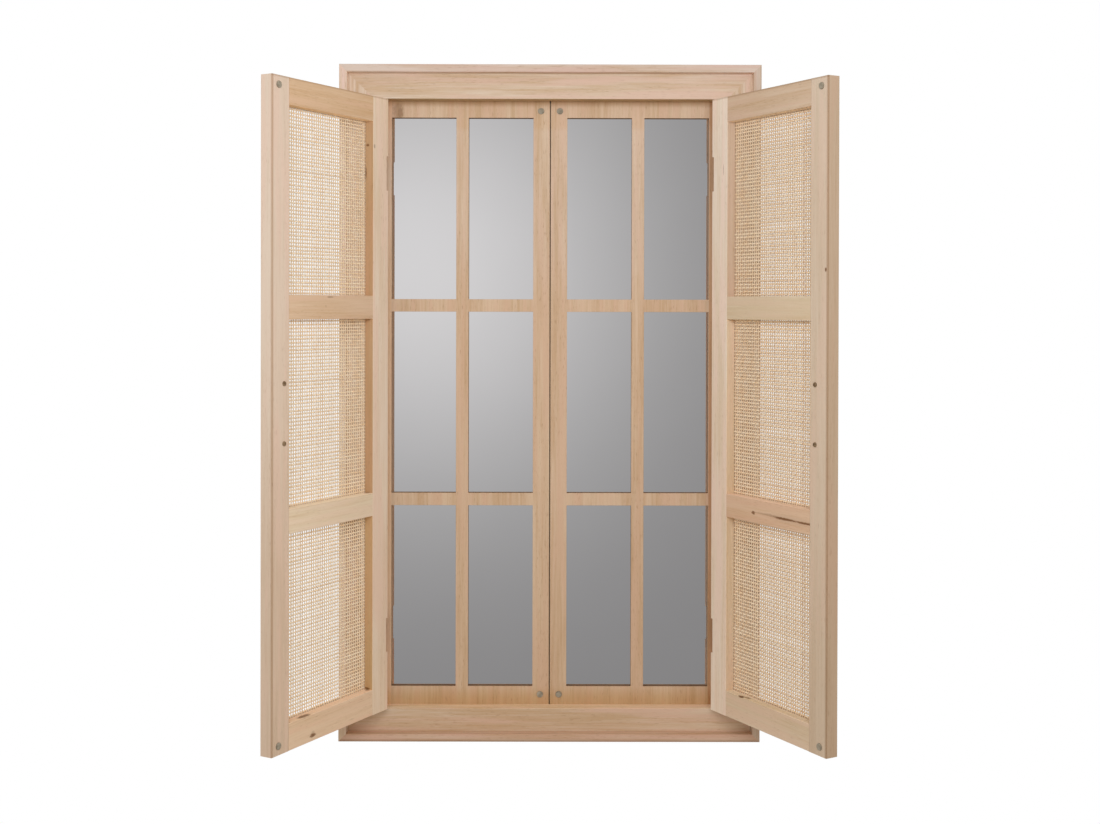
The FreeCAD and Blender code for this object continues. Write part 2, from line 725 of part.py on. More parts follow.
def cane_panel(side, label, low):
    """One cane panel, set against the seat of its rebate."""
    start = "cane_start" if side == LEFT else "-cane_end"
    place = FreeCAD.Placement(point(start, "door_outer + bead_thick", low), FreeCAD.Rotation())
    return keep(label, hang(copies(label, cane, [place]), side))


def cane_beads(side, label):
    """Strips that hold the cane in its rebates, flush with the outer face of the shutter."""
    strips = []
    for number in range(PANES_UP):
        low = cane_low(number)
        left, right = "cane_start - bead_wide + bead_gap", "cane_end + bead_wide - bead_gap"
        foot, head = f"{low} - bead_wide + bead_gap", f"{low} + cane_height + bead_wide - bead_gap"
        thick = "bead_wide - bead_gap"
        spans = [(left, f"{left} + {thick}", foot, head), (f"{right} - ({thick})", right, foot, head),
                 (f"{left} + {thick} + bead_gap", f"{right} - {thick} - bead_gap", foot, f"{foot} + {thick}"),
                 (f"{left} + {thick} + bead_gap", f"{right} - {thick} - bead_gap", f"{head} - ({thick})", head)]
        for x0, x1, z0, z1 in spans:
            start = x0 if side == LEFT else x1
            strips.append(box(f"{label}_{len(strips)}", (across(side, start), "door_outer", z0),
                              (f"{x1} - ({x0})", "bead_thick", f"{z1} - ({z0})")))
    group = doc.addObject("Part::Compound", label)
    group.Links = strips
    return keep(label, hang(group, side))


def handle(side, label):
    """A bar handle on two posts, on the outer face of the shutter."""
    x = across(side, "handle_across")
    out = FreeCAD.Vector(0, -1, 0)
    posts = []
    holes = []
    for end in (1, -1):
        z = f"{end} * handle_centres / 2"
        posts.append(cylinder(f"{label}_post_{end + 1}", (x, "door_outer", z), "handle_post_radius",
                              "handle_stand_off", out))
        spot = aimed(point(x, "door_inner", z), out)
        holes.append(spot)
    bar = cylinder(f"{label}_bar", (x, "door_outer - handle_stand_off", "-handle_bar_long / 2"),
                   "handle_bar_radius", "handle_bar_long")
    doc.recompute()
    rounded = doc.addObject("Part::Fillet", f"{label}_bar_rounded")
    rounded.Base = bar
    ends = [number for number, edge in enumerate(bar.Shape.Edges, 1)
            if abs(abs(edge.CenterOfMass.z) - size("handle_bar_long / 2")) < size("handle_end_round") / 2]
    rounded.Edges = [(number, size("handle_end_round"), size("handle_end_round")) for number in ends]
    threads = copies(f"{label}_threads", handle_screw_hole, holes)
    keep(label, hang(carve(label, join(f"{label}_whole", [rounded] + posts), [threads]), side))
    keep(f"{label}_screws", hang(copies(f"{label}_screws", handle_screw, holes), side))
    return holes


def hinge_leaf(label, toward, own, level):
    """One leaf with its share of the knuckles: own holds the numbers of its knuckles, and the
    plate lies on the side of the pin that toward gives."""
    low = "-hinge_long / 2"
    start = "knuckle_radius - leaf_thick" if toward > 0 else "-knuckle_radius"
    plate = box(f"{label}_plate", (start, "0", low), ("leaf_thick", "leaf_wide", "hinge_long"))
    barrel = cylinder(f"{label}_barrel", ("0", "0", low), "knuckle_radius", "hinge_long")
    tools = [cylinder(f"{label}_bore", ("0", "0", low), "pin_radius + pin_clearance", "hinge_long")]
    for number in range(KNUCKLES):
        if number not in own:
            foot = f"{low} + {number} * knuckle_long - knuckle_gap"
            tools.append(cylinder(f"{label}_room_{number}", ("0", "0", foot),
                                  "knuckle_radius + knuckle_gap / 2", "knuckle_long + 2 * knuckle_gap"))
    tools.append(copies(f"{label}_holes", hinge_screw_hole, leaf_screw_places(toward)))
    blank = join(f"{label}_blank", [plate, barrel])
    return carve(label, blank, tools)


def lift(piece, level):
    """Raises a hinge leaf's cut shape to the height of its hinge, still in the pin's frame."""
    piece.setExpression("Placement.Base.z", formula(level))
    return piece


DOOR_KNUCKLES = (1, 3)
CASE_KNUCKLES = (0, 2, 4)

for side, word in ((LEFT, "left"), (RIGHT, "right")):
    door = f"{word}_door"
    handle_spots = handle(side, f"{door}_handle")
    handle_holes = copies(f"{door}_handle_holes", handle_screw_hole, handle_spots)
    magnet_spots = [aimed(point(across(side, "magnet_across"), "door_inner", level), FreeCAD.Vector(0, -1, 0))
                    for level in ("magnet_high", "magnet_low")]
    magnet_seats = copies(f"{door}_magnet_seats", magnet_seat, magnet_spots)
    hinge_holes = copies(f"{door}_hinge_holes", hinge_screw_hole, door_hinge_places(side))
    stile(side, f"{door}_hinge_stile", "door_start", "cane_start", "cane_start - tenon_long - joint_clearance",
          "cane_start", [hinge_holes])
    stile(side, f"{door}_meeting_stile", "cane_end", "door_end", "cane_end",
          "cane_end + tenon_long + joint_clearance", [magnet_seats, handle_holes])
    for name, (low, high) in RAILS.items():
        rail(side, f"{door}_{name}", low, high)
    for number, name in enumerate(("lower", "middle", "upper")):
        cane_panel(side, f"{door}_{name}_cane", cane_low(number))
    cane_beads(side, f"{door}_cane_beads")
    keep(f"{door}_magnets", hang(copies(f"{door}_magnets", magnet, magnet_spots), side))
    keep(f"{door}_hinge_screws", hang(copies(f"{door}_hinge_screws", hinge_screw, door_hinge_places(side)), side))
    for name, level in HINGE_LEVELS.items():
        door_leaf = hinge_leaf(f"{door}_{name}_hinge_leaf", side, DOOR_KNUCKLES, level)
        keep(f"{door}_{name}_hinge_leaf", lift(hang(door_leaf, side), level))
        label = f"case_{word}_{name}_hinge_leaf"
        case_leaf = hinge_leaf(label, -side, CASE_KNUCKLES, level)
        case_leaf.setExpression("Placement.Base.x", formula(f"{-side} * pin_half"))
        case_leaf.setExpression("Placement.Base.y", formula("-pin_out"))
        keep(label, lift(case_leaf, level))
    pins = [FreeCAD.Placement(point(f"{-side} * pin_half", "-pin_out", level), FreeCAD.Rotation())
            for level in HINGE_LEVELS.values()]
    keep(f"{word}_hinge_pins", copies(f"{word}_hinge_pins", hinge_pin, pins))

# A last look at every piece, and then the files.

doc.recompute()
for item in doc.Objects:
    if "Invalid" in item.State or "Error" in item.State:
        raise RuntimeError(f"{item.Name} failed: {item.State}")
    if item.isDerivedFrom("PartDesign::Pocket"):
        before, after = item.BaseFeature.Shape.Volume, item.Shape.Volume
        if after >= before:
            raise RuntimeError(f"{item.Name} cuts nothing")
os.makedirs("parts", exist_ok=True)
for label, piece in sub_parts.items():
    if piece.Shape.isNull() or not piece.Shape.isValid() or not piece.Shape.Solids:
        raise RuntimeError(f"{label} has no valid solid")
for label, piece in sub_parts.items():
    piece.Shape.exportStep(f"parts/{label}.step")
print(len(sub_parts), "sub-parts,", sum(len(piece.Shape.Solids) for piece in sub_parts.values()), "solids")
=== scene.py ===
import json
import math
import random

import bpy
from mathutils import Matrix, Vector

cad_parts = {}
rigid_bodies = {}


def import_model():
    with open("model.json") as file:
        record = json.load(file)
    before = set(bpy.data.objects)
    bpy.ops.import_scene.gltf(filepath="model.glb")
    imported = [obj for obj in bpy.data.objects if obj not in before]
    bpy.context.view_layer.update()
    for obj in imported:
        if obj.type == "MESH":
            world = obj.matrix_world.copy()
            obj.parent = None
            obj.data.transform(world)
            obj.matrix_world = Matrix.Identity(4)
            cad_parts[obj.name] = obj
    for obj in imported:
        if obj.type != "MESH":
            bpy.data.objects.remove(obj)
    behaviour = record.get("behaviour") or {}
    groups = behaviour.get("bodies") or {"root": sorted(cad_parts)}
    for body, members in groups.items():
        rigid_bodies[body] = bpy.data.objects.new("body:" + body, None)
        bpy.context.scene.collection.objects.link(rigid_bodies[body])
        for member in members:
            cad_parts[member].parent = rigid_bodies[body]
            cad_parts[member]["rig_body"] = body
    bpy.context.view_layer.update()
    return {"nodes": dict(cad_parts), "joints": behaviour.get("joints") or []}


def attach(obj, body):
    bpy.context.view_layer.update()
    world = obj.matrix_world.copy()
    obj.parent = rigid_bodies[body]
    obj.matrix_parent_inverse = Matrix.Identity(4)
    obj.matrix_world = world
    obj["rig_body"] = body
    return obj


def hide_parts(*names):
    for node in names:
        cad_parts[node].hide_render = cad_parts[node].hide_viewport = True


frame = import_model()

# The finishes, the woven cane and the studio of a wall mirror made like a shuttered window.
# Everything is in metres in the mirror's own frame: +X right, +Y into the wall, +Z up, and the
# origin in the middle of the back. Sizes written in millimetres are multiplied by MM.

MM = 0.001
SIDES = ("left", "right")
JOINTS = {joint["child"]: joint for joint in frame["joints"]}


def srgb(red, green, blue):
    """A colour read off a screen, as the shader wants it."""
    def straighten(level):
        level /= 255
        return level / 12.92 if level <= 0.04045 else ((level + 0.055) / 1.055) ** 2.4
    return (straighten(red), straighten(green), straighten(blue), 1.0)


# ---------------------------------------------------------------------------------------------
# shader trees


class Wiring:
    """Adds nodes to one shader tree. A value is a number, a colour or another node's socket."""

    def __init__(self, tree):
        self.tree = tree

    def feed(self, socket, value):
        if isinstance(value, bpy.types.NodeSocket):
            self.tree.links.new(value, socket)
        else:
            socket.default_value = value

    def add(self, kind, values=None, **settings):
        node = self.tree.nodes.new(kind)
        for name, setting in settings.items():
            setattr(node, name, setting)
        for name, value in (values or {}).items():
            self.feed(node.inputs[name], value)
        return node

    def here(self):
        """The place on the piece, in the mirror's frame."""
        return self.add("ShaderNodeTexCoord").outputs["Object"]

    def split(self, vector):
        """X, Y and Z of a vector, apart."""
        return self.add("ShaderNodeSeparateXYZ", {"Vector": vector}).outputs

    def calc(self, operation, first, second=0.0, clamp=False):
        values = {0: first, 1: second}
        return self.add("ShaderNodeMath", values, operation=operation, use_clamp=clamp).outputs[0]

    def plus(self, first, second):
        return self.calc("ADD", first, second)

    def minus(self, first, second):
        return self.calc("SUBTRACT", first, second)

    def times(self, first, second):
        return self.calc("MULTIPLY", first, second)

    def vector(self, operation, first, second):
        values = {0: first, 1: second}
        return self.add("ShaderNodeVectorMath", values, operation=operation).outputs[0]

    def length(self, vector):
        return self.add("ShaderNodeVectorMath", {0: vector}, operation="LENGTH").outputs["Value"]

    def noise(self, place, stretch, detail=0.0, roughness=0.5, distortion=0.0):
        """Soft noise about 0.5. The stretch is how often it changes in a metre, on each axis."""
        values = {"Vector": self.vector("MULTIPLY", place, stretch), "Scale": 1.0,
                  "Detail": detail, "Roughness": roughness, "Distortion": distortion}
        return self.add("ShaderNodeTexNoise", values).outputs["Fac"]

    def fade(self, value, start, end, low=0.0, high=1.0):
        """Low up to the start and high past the end, with a smooth change between them."""
        values = {"Value": value, "From Min": start, "From Max": end, "To Min": low,
                  "To Max": high}
        node = self.add("ShaderNodeMapRange", values, interpolation_type="SMOOTHSTEP")
        return node.outputs["Result"]

    def mix(self, amount, first, second, blend="MIX"):
        """Two colours in one."""
        values = {0: amount, 6: first, 7: second}
        node = self.add("ShaderNodeMix", values, data_type="RGBA", blend_type=blend)
        return node.outputs[2]

    def choose(self, amount, first, second):
        """Two numbers in one: the first at 0 and the second at 1."""
        values = {0: amount, 2: first, 3: second}
        return self.add("ShaderNodeMix", values, data_type="FLOAT").outputs[0]

    def use_group(self, group, values):
        return self.add("ShaderNodeGroup", values, node_tree=group).outputs

    def raise_surface(self, shader, height, strength, depth):
        values = {"Height": height, "Strength": strength, "Distance": depth}
        self.feed(shader.inputs["Normal"], self.add("ShaderNodeBump", values).outputs["Normal"])


def shader_group(name, enters, leaves):
    """An empty node group with named inputs and outputs, and its wiring."""
    tree = bpy.data.node_groups.new(name, "ShaderNodeTree")
    for way, sockets in (("INPUT", enters), ("OUTPUT", leaves)):
        for label, kind in sockets.items():
            tree.interface.new_socket(label, in_out=way, socket_type=f"NodeSocket{kind}")
    enter, leave = tree.nodes.new("NodeGroupInput"), tree.nodes.new("NodeGroupOutput")
    return Wiring(tree), enter.outputs, leave.inputs


# what the groups for wood, metal and cane give
SURFACE = {"Colour": "Color", "Roughness": "Float", "Height": "Float"}

# how often each part of the wood's pattern changes in a metre, along the grain and across it
GRAIN_STRETCH = {
    "growth": (1.3, 24.0), "drift": (1.6, 14.0), "warmth": (4.0, 60.0),
    "streak": (7.0, 260.0), "fibre": (30.0, 1500.0), "dash": (75.0, 900.0),
}
SEED_STEP = (3.1, 1.7, 2.3)
RINGS = 8.0
PORE_TINT = srgb(196, 176, 158)


def open_grain_group():
    """Bare open-grained wood: soft growth bands, streaks, fibres and short pores along X."""
    enters = {"Vector": "Vector", "Seed": "Float", "Pale": "Color", "Deep": "Color",
              "Blush": "Color", "Bands": "Float", "Streaks": "Float", "Pores": "Float"}
    w, enter, leave = shader_group("open_grain", enters, SURFACE)
    seeded = {0: SEED_STEP, "Scale": enter["Seed"]}
    shift = w.add("ShaderNodeVectorMath", seeded, operation="SCALE").outputs[0]
    place = w.vector("ADD", enter["Vector"], shift)

    def pattern(part, **kind):
        along, across = GRAIN_STRETCH[part]
        return w.noise(place, (along, across, across), **kind)

    rings = w.calc("PINGPONG", w.times(pattern("growth", detail=1.0, distortion=0.25), RINGS), 1.0)
    band = w.fade(rings, 0.1, 0.9, -0.5, 0.5)
    streak = w.minus(pattern("streak", detail=3.0, roughness=0.6), 0.5)
    fibre = w.minus(pattern("fibre", detail=2.0), 0.5)
    drift = w.fade(pattern("drift", detail=2.0), 0.3, 0.7, 0.1, 0.8)
    warmth = w.fade(pattern("warmth", detail=2.0, roughness=0.6), 0.42, 0.66, 0.0, 0.75)

    # pores are short dashes, crowded in one part of each ring
    dash = w.fade(pattern("dash", detail=1.0), 0.60, 0.74)
    crowd = w.fade(rings, 0.2, 0.8, 0.35, 1.0)
    pore = w.times(w.times(dash, crowd), enter["Pores"])

    banding = w.times(band, enter["Bands"])
    streaking = w.times(w.plus(streak, w.times(fibre, 0.5)), enter["Streaks"])
    tone = w.calc("ADD", w.plus(banding, streaking), drift, clamp=True)
    body = w.mix(warmth, w.mix(tone, enter["Pale"], enter["Deep"]), enter["Blush"])
    dark = w.mix(1.0, body, PORE_TINT, "MULTIPLY")
    w.feed(leave["Colour"], w.mix(pore, body, dark))
    w.feed(leave["Roughness"], w.plus(w.times(fibre, 0.3), 0.62))
    height = w.plus(w.times(fibre, 0.6), w.times(streak, 0.4))
    w.feed(leave["Height"], w.minus(height, w.times(pore, 0.5)))
    return w.tree


def knot_group():
    """A knot or a dark streak: 1 at its heart and 0 outside, ragged and drawn out along X."""
    enters = {"Vector": "Vector", "Heart": "Vector", "Size": "Vector"}
    w, enter, leave = shader_group("knot", enters, {"Mask": "Float"})
    away = w.vector("DIVIDE", w.vector("SUBTRACT", enter["Vector"], enter["Heart"]), enter["Size"])
    ragged = w.minus(w.noise(enter["Vector"], (160.0, 900.0, 900.0), detail=2.0), 0.5)
    edge = w.plus(w.length(away), w.times(ragged, 1.2))
    w.feed(leave["Mask"], w.fade(edge, 1.25, 0.6))
    return w.tree


def draw_marks_group():
    """Fine draw marks on metal, along Z, and dull patches."""
    enters = {"Vector": "Vector", "Plain": "Color", "Worn": "Color", "Roughness": "Float"}
    w, enter, leave = shader_group("draw_marks", enters, SURFACE)
    marks = w.noise(enter["Vector"], (3000.0, 3000.0, 90.0), detail=2.0)
    patches = w.fade(w.noise(enter["Vector"], (160.0, 160.0, 160.0), detail=2.0), 0.35, 0.7)
    w.feed(leave["Colour"], w.mix(patches, enter["Plain"], enter["Worn"]))
    w.feed(leave["Roughness"], w.plus(w.times(w.minus(marks, 0.5), 0.35), enter["Roughness"]))
    w.feed(leave["Height"], marks)
    return w.tree


CREAM, STRAW = srgb(251, 230, 200), srgb(244, 215, 178)
BROWN_CANE, CANE_FIBRE = srgb(202, 165, 136), srgb(222, 192, 150)


def cane_skin_group():
    """The skin of split cane: soft patches of cream and straw, and browner by its tone."""
    w, enter, leave = shader_group("cane_skin", {"Vector": "Vector", "Tone": "Float"}, SURFACE)
    mottle = w.noise(enter["Vector"], (70.0, 70.0, 70.0), detail=3.0)
    fibre = w.noise(enter["Vector"], (1200.0, 1200.0, 1200.0), detail=1.0)
    soft = w.mix(w.fade(mottle, 0.35, 0.68), CREAM, STRAW)
    toned = w.mix(w.times(enter["Tone"], 0.75), soft, BROWN_CANE)
    w.feed(leave["Colour"], w.mix(w.fade(fibre, 0.5, 0.75, 0.0, 0.25), toned, CANE_FIBRE))
    w.feed(leave["Roughness"], w.fade(mottle, 0.3, 0.7, 0.42, 0.58))
    w.feed(leave["Height"], fibre)
    return w.tree


GRAIN, KNOT = open_grain_group(), knot_group()
DRAW_MARKS, CANE_SKIN = draw_marks_group(), cane_skin_group()


def finish_material(name):
    """A new material, its wiring and its shader."""
    material = bpy.data.materials.new(name)
    material.use_nodes = True
    tree = material.node_tree
    return material, Wiring(tree), tree.nodes["Principled BSDF"]


def dress(names, material):
    """Gives the material to the named nodes of the frame."""
    for name in names:
        materials = frame["nodes"][name].data.materials
        materials.clear()
        materials.append(material)


# ---------------------------------------------------------------------------------------------
# wood

# a place in a board: along its grain, back from its origin, and across the grain
ALONG, BACK, ACROSS = 0, 1, 2
UPRIGHT = Matrix.Rotation(math.pi / 2, 3, "Y")


def board_place(node, upright):
    """How to turn a place in the mirror's frame into one in the board's: X along the grain.
    A shutter's boards are measured across from its hinge pins, back from them and up."""
    body = node["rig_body"]
    if body in JOINTS:
        joint = JOINTS[body]
        flip = 1.0 if joint["pos_m"][0] < 0 else -1.0
        turn = Matrix.Rotation(math.radians(-joint["range_deg"][0]), 3, "Z")
        pins = Vector((flip * joint["pos_m"][0], joint["pos_m"][1], 0.0))
    else:
        flip, turn, pins = 1.0, Matrix.Identity(3), Vector()
    if upright:
        turn = UPRIGHT @ turn
    return flip, turn.to_euler(), -(turn @ pins)


WOODS = {
    # name: pale, deep, blush, bands, streaks, pores
    "case": ((223, 197, 171), (204, 169, 133), (222, 184, 160), 0.32, 2.3, 0.45),
    "lattice": ((220, 191, 161), (201, 166, 130), (217, 181, 152), 0.32, 2.2, 0.6),
    "shutter": ((226, 205, 181), (213, 186, 154), (226, 196, 172), 0.28, 1.9, 0.4),
    "shutter_yellow": ((219, 193, 158), (203, 170, 128), (218, 186, 152), 0.32, 1.7, 0.4),
    "shutter_grey": ((224, 207, 185), (213, 192, 166), (226, 202, 180), 0.24, 1.9, 0.4),
    "panel": ((212, 186, 154), (192, 159, 122), (210, 177, 147), 0.5, 1.5, 0.6),
}

# how much redder, greener and bluer each board is than its kind of wood: partly the board's own
# tone and partly painted light and shade, lighter where the lamps light a board too little and
# darker where they light it too much
TONE_AND_PAINTED_LIGHT = {
    "case_top": (0.92, 0.98, 1.14),
    "case_bottom": (0.88, 0.85, 0.89),
    "case_left": (1.06, 1.17, 1.37),
    "case_right": (0.82, 0.86, 0.96),
    "face_frame_top": (0.96, 1.03, 1.12),
    "face_frame_left": (0.96, 1.03, 1.12),
    "face_frame_right": (0.96, 1.03, 1.12),
    "face_frame_bottom": (0.93, 0.96, 1.0),
    "lattice_left": (0.94, 0.95, 0.97),
    "lattice_right": (0.94, 0.95, 0.98),
    "left_door_meeting_stile": (1.02, 0.98, 1.01),
    "left_door_top_rail": (1.05, 1.0, 1.04),
    "left_door_upper_mid_rail": (1.09, 1.08, 1.2),
    "left_door_lower_mid_rail": (1.23, 1.39, 1.67),
    "left_door_bottom_rail": (1.09, 1.03, 0.99),
    "left_door_hinge_stile": (1.15, 1.19, 1.27),
    "right_door_meeting_stile": (0.94, 0.92, 0.93),
    "right_door_top_rail": (0.94, 0.95, 1.09),
    "right_door_upper_mid_rail": (1.03, 1.13, 1.28),
    "right_door_lower_mid_rail": (1.06, 1.01, 1.12),
    "right_door_bottom_rail": (1.01, 1.04, 1.06),
    "right_door_hinge_stile": (1.18, 1.28, 1.45),
}
UNTONED = (1, 1, 1)
KNOT_BROWN = srgb(108, 65, 24)
# painted shade: boards are a little darker towards the foot, between these heights, where less
# light falls on them
PAINTED_FOOT_SHADE, FOOT_FROM, FOOT_TO = srgb(247, 243, 238), 0.5, -0.65


def tinted(tone, colour):
    shares = [share * level for share, level in zip(tone, srgb(*colour))]
    return (*shares, 1.0)


def board(name, wood, upright, seed, knots=(), shades=()):
    """Gives one board its own cut of wood. A knot is (along, back, up or across, its half
    sizes in the same order, darkness). A shade darkens one side or edge of the board, or
    paints light on it if it is above 255; most shades are painted light and shade. It is
    (ramps, colour), and each ramp is (which way, where it starts, where it is full). Places
    and sizes are in millimetres."""
    material, w, shader = finish_material(f"wood_{name}")
    here = w.here()
    flip, turn, shift = board_place(frame["nodes"][name], upright)
    values = {"Vector": here, "Location": shift, "Rotation": turn, "Scale": (flip, 1.0, 1.0)}
    place = w.add("ShaderNodeMapping", values, vector_type="POINT").outputs["Vector"]
    *colours, bands, streaks, pores = WOODS[wood]
    # each board's tone, which carries painted light and shade as well
    pale, deep, blush = [tinted(TONE_AND_PAINTED_LIGHT.get(name, UNTONED), colour) for colour in colours]
    grain = w.use_group(GRAIN, {"Vector": place, "Seed": seed, "Pale": pale, "Deep": deep,
                                "Blush": blush, "Bands": bands, "Streaks": streaks,
                                "Pores": pores})
    # painted shade towards the foot
    low = w.fade(w.split(here)["Z"], FOOT_FROM, FOOT_TO)
    colour = w.mix(low, grain["Colour"], PAINTED_FOOT_SHADE, "MULTIPLY")
    ways = w.split(place) if shades else ()
    for ramps, shade in shades:
        mask = 1.0
        for way, start, full in ramps:
            mask = w.times(mask, w.fade(ways[way], MM * start, MM * full))
        colour = w.mix(mask, colour, srgb(*shade), "MULTIPLY")
    for heart, size, darkness in knots:
        spot = {"Vector": place, "Heart": [MM * side for side in heart],
                "Size": [MM * side for side in size]}
        mask = w.use_group(KNOT, spot)["Mask"]
        colour = w.mix(w.times(mask, darkness), colour, KNOT_BROWN)
    w.feed(shader.inputs["Base Color"], colour)
    w.feed(shader.inputs["Roughness"], grain["Roughness"])
    shader.inputs["Specular IOR Level"].default_value = 0.3
    w.raise_surface(shader, grain["Height"], strength=0.35, depth=0.0003)
    dress([name], material)


# painted light on the rim's inner sides, less towards its foot, and painted light on the ledge
INNER_LIGHT, INNER_LOW_LIGHT, LEDGE_LIGHT = (282, 288, 290), (270, 272, 272), (306, 315, 312)
ABOVE_FOOT = (ALONG, -590.0, -545.0)
board("case_top", "case", upright=False, seed=1.3, shades=[([(ACROSS, 586.9, 586.6)], INNER_LIGHT)])
# painted shade along the rim's rounded lower edge, which faces down
board("case_bottom", "case", upright=False, seed=2.9,
      shades=[([(ACROSS, -594.0, -599.0)], (214, 208, 204)),
              ([(ACROSS, -586.9, -586.6)], INNER_LOW_LIGHT)])
board("case_left", "case", upright=True, seed=4.1,
      shades=[([(ACROSS, 360.4, 360.1), ABOVE_FOOT], INNER_LIGHT)])
board("case_right", "case", upright=True, seed=5.7,
      shades=[([(ACROSS, -360.4, -360.1), ABOVE_FOOT], INNER_LIGHT)])
# painted shade, deeper and yellower, under the face frame's top, and painted light along its upper
# edge under the rim
board("face_frame_top", "case", upright=False, seed=7.2,
      shades=[([(ACROSS, 541.9, 541.6)], (248, 240, 208)),
              ([(ACROSS, 581.0, 586.0)], (264, 268, 270))])
board("face_frame_bottom", "case", upright=False, seed=8.6,
      shades=[([(ACROSS, -546.4, -546.1)], LEDGE_LIGHT)])
board("face_frame_left", "case", upright=True, seed=9.4)
board("face_frame_right", "case", upright=True, seed=11.8)

# the lattices: painted shadow under the soffit, painted shade at the foot and in the pane edges,
# and painted light higher up
PANE_EDGE = (BACK, -19.0, -16.0)
LATTICE_SHADES = [
    ([(ALONG, 528.0, 541.0)], (206, 192, 172)),
    ([(ALONG, -509.0, -538.0)], (241, 232, 211)),
    ([PANE_EDGE], (170, 152, 128)),
    ([(ALONG, 150.0, 300.0), (ALONG, 497.0, 485.0)], (258, 263, 271)),
]
SMUDGE = [((523, -20, 274), (15, 6, 10), 0.38), ((520, -20, 270), (10, 6, 5), 0.25)]
# the outer stiles: painted light on the left one, painted shade on the right one beside its
# shutter, and painted light on the inner sides of both
board("lattice_left", "lattice", upright=True, seed=13.5, knots=SMUDGE,
      shades=[*LATTICE_SHADES,
              ([(ACROSS, 284.0, 287.0)], (273, 268, 264)),
              ([PANE_EDGE, (ACROSS, 284.9, 285.3)], (318, 328, 332))])
board("lattice_right", "lattice", upright=True, seed=15.1,
      shades=[*LATTICE_SHADES,
              ([(ACROSS, -285.6, -287.0)], (238, 220, 205)),
              ([PANE_EDGE, (ACROSS, -284.9, -285.3)], (278, 290, 300))])
board("back_panel", "panel", upright=True, seed=17.7)

# piece of a shutter: its kind of wood, and whether its grain stands upright
SHUTTER_BOARDS = {
    "hinge_stile": ("shutter", True), "meeting_stile": ("shutter_grey", True),
    "top_rail": ("shutter_yellow", False), "upper_mid_rail": ("shutter_yellow", False),
    "lower_mid_rail": ("shutter_yellow", False), "bottom_rail": ("shutter", False),
    "cane_beads": ("shutter", True),
}
SHUTTER_KNOTS = {
    "left_door_bottom_rail": [((207, 26, -534), (8, 7, 3.0), 0.8),
                              ((207, 26, -531), (5, 6, 4), 0.3),
                              ((224, 21, -499), (15, 6, 2.5), 0.75),
                              ((46, 17, -499), (4.5, 4, 3), 0.8)],
    "left_door_upper_mid_rail": [((162, 26, 187), (9, 5, 1.6), 0.4),
                                 ((174, 26, 172), (2, 5, 1.4), 0.25)],
    "left_door_hinge_stile": [((453, 15, -42), (2.5, 4, 3), 0.8),
                              ((451, 26, -39), (4, 4, 2.5), 0.45),
                              ((405, 10, -43.2), (12, 3, 2), 0.7),
                              ((-497, 15, -43.5), (1.6, 6, 2.4), 0.85)],
    "left_door_lower_mid_rail": [((46, 17, -154), (6, 5, 3), 0.8)],
    # a knot with a crack that runs from it to the stile, and a brown halo
    "right_door_lower_mid_rail": [((120, 26, -177.5), (5, 6, 3), 0.8),
                                  ((163, 26, -176), (42, 6, 1.8), 0.3),
                                  ((206, 26, -177.3), (32, 6, 2.1), 0.85),
                                  ((256, 26, -177.5), (26, 6, 2.0), 0.85),
                                  ((222, 26, -176.8), (70, 6, 8.0), 0.12)],
    "right_door_bottom_rail": [((86, 25, -498.5), (8, 5, 2.4), 0.9),
                               ((97, 20, -499), (8, 4, 2.4), 0.6)],
    "right_door_hinge_stile": [((413, 26, -32), (10, 4, 1.2), 0.35)],
    "right_door_meeting_stile": [((231, 26, -305), (3.4, 5, 2.2), 0.9)],
}

# the shutter's top, its free end and its inner face, and where its panels start, from the pins
SHUTTER_TOP, SHUTTER_END, SHUTTER_FACE, PANEL_START = 538.5, 309.7, 26.5, 43.25
TOP_LINE, FACE_LINE = (SHUTTER_TOP - 4.0, SHUTTER_TOP - 1.0), (SHUTTER_FACE - 3.0, SHUTTER_FACE)
TOP_EDGE = [(ACROSS, *TOP_LINE), (BACK, *FACE_LINE)]
STILE_TOP = [(ALONG, *TOP_LINE), (BACK, *FACE_LINE)]
FREE_EDGE = [(ACROSS, 5.0 - SHUTTER_END, 1.2 - SHUTTER_END),
             (BACK, SHUTTER_FACE - 3.2, SHUTTER_FACE - 0.6)]
FREE_SIDE = [(ACROSS, 0.6 - SHUTTER_END, 0.2 - SHUTTER_END)]
PANEL_SIDE = [(ACROSS, 0.4 - PANEL_START, 0.1 - PANEL_START)]
TOP_RAIL_UNDER = [(ACROSS, 494.9, 494.6)]
UPPER_RAIL_UNDER = [(ACROSS, 150.4, 150.1)]
LOWER_RAIL_UNDER, LOWER_RAIL_TOP = [(ACROSS, -194.1, -194.4)], [(ACROSS, -154.9, -154.6)]
BOTTOM_RAIL_TOP = [(ACROSS, -499.4, -499.1)]
# EDGE_DARK darkens a thin line along the shutters' top edges; UNDER_LIGHT is painted light on the
# rails' undersides and TOP_LIGHT painted light on the tops of the lower middle and bottom rails
EDGE_DARK, UNDER_LIGHT, TOP_LIGHT = (226, 220, 214), (312, 320, 316), (284, 288, 292)
SHUTTER_SHADES = {
    "top_rail": [(TOP_EDGE, EDGE_DARK), (TOP_RAIL_UNDER, UNDER_LIGHT)],
    "upper_mid_rail": [(UPPER_RAIL_UNDER, UNDER_LIGHT)],
    "lower_mid_rail": [(LOWER_RAIL_UNDER, UNDER_LIGHT), (LOWER_RAIL_TOP, TOP_LIGHT)],
    "bottom_rail": [(BOTTOM_RAIL_TOP, TOP_LIGHT)],
    "meeting_stile": [(STILE_TOP, EDGE_DARK), (FREE_EDGE, (216, 204, 192))],
    "hinge_stile": [(STILE_TOP, EDGE_DARK)],
}
